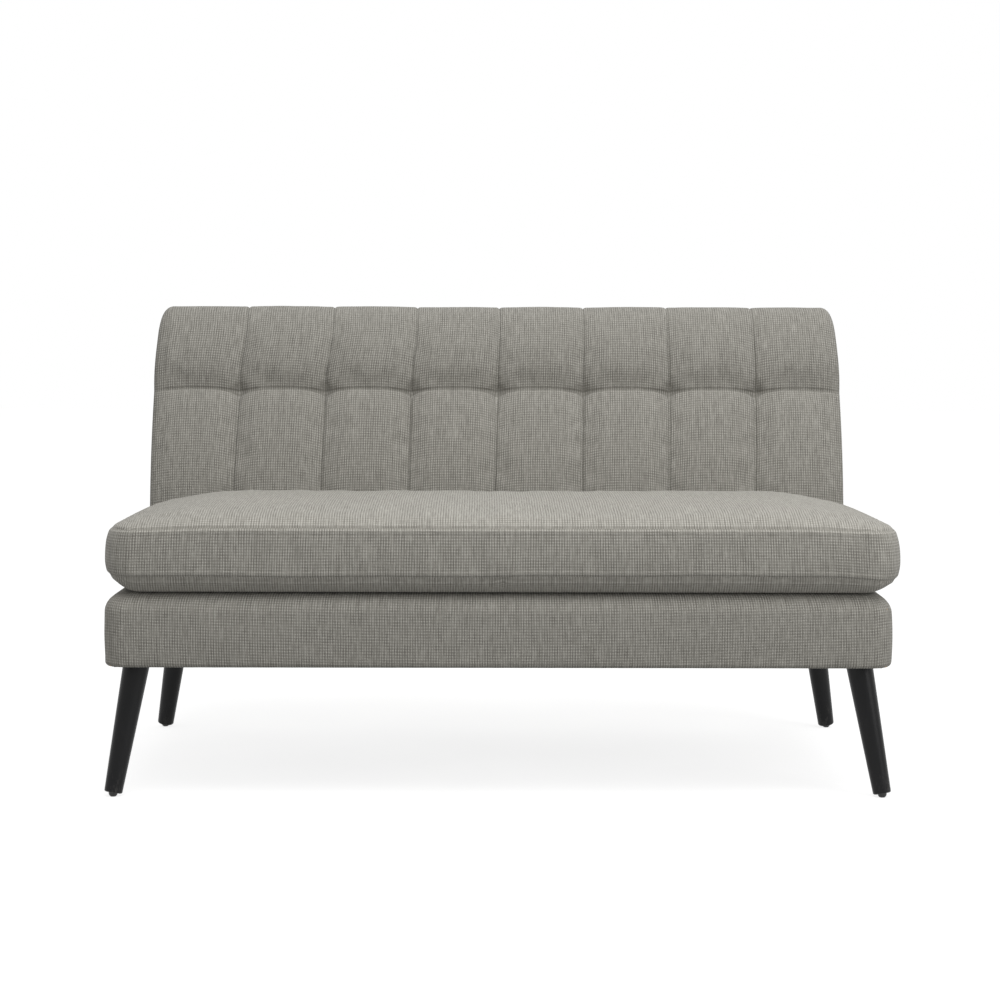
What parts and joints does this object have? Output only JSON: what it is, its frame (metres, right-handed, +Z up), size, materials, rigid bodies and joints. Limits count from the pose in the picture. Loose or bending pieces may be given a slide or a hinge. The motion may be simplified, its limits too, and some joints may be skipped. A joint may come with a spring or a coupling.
{
  "type": "armless sofa",
  "caption": "Armless two-seat sofa: reclined blind-tufted back, one loose bench seat cushion, upholstered box base and splayed round tapered legs.",
  "frame": {"origin": "on the floor, at the centre of the overall bounding box in plan", "axes": "+X along the sofa to the right as seen from the front, -Y out of the front, +Z up"},
  "size_m": [1.298, 0.79, 0.803],
  "materials": {
    "upholstery": "matte",
    "lining": "matte",
    "foam": "matte",
    "wadding": "matte",
    "felt": "matte",
    "webbing": "matte",
    "twine": "matte",
    "timber": "matte",
    "plywood": "matte",
    "hardboard": "matte",
    "leg_finish": "satin",
    "zinc_steel": "satin",
    "spring_steel": "satin",
    "nylon": "matte",
    "zip_tape": "matte",
    "zip_metal": "satin"
  },
  "bodies": {
    "sofa": {"back_front_cover": "upholstery", "back_left_side_cover": "upholstery", "back_right_side_cover": "upholstery", "back_rear_cover": "upholstery", "seat_base_cover": "upholstery", "dust_cover": "lining", "deck_cloth": "lining", "deck_foam": "foam", "back_foam": "foam", "back_wadding": "wadding", "seat_base_padding": "wadding", "spring_felt": "felt", "back_webbing": "webbing", "tuft_ties": "twine", "seat_front_rail": "timber", "seat_rear_rail": "timber", "seat_left_rail": "timber", "seat_right_rail": "timber", "seat_spring_rail": "timber", "seat_centre_stretcher": "timber", "leg_corner_blocks": "timber", "back_mount_board": "timber", "back_left_side_frame": "plywood", "back_right_side_frame": "plywood", "back_ribs": "plywood", "back_bottom_rail": "plywood", "back_tuft_rail": "plywood", "back_top_rail": "plywood", "back_rear_board": "hardboard", "leg_front_left": "leg_finish", "leg_front_right": "leg_finish", "leg_rear_left": "leg_finish", "leg_rear_right": "leg_finish", "leg_plates": "zinc_steel", "leg_plate_screws": "zinc_steel", "leg_hanger_bolts": "zinc_steel", "seat_frame_screws": "zinc_steel", "back_frame_screws": "zinc_steel", "back_bolts": "zinc_steel", "back_bolt_washers": "zinc_steel", "back_tee_nuts": "zinc_steel", "front_spring_clips": "zinc_steel", "rear_spring_clips": "zinc_steel", "sinuous_springs": "spring_steel", "spring_tie_wires": "spring_steel", "leg_glides": "nylon", "tuft_toggles": "nylon"},
    "seat_cushion": {"seat_cushion_foam": "foam", "seat_cushion_wrap": "wadding", "seat_cushion_top_panel": "upholstery", "seat_cushion_band": "upholstery", "seat_cushion_bottom_panel": "upholstery", "cushion_zip_tape": "zip_tape"},
    "zip_slider": {"cushion_zip_slider": "zip_metal"}
  },
  "joints": [
    {"name": "cushion_lift", "type": "slide", "parent": "sofa", "child": "seat_cushion", "axis": [0, 0, 1], "range_m": [0, 0.48]},
    {"name": "zip_slide", "type": "slide", "parent": "seat_cushion", "child": "zip_slider", "axis": [1, 0, 0], "range_m": [0, 1.09]}
  ]
}
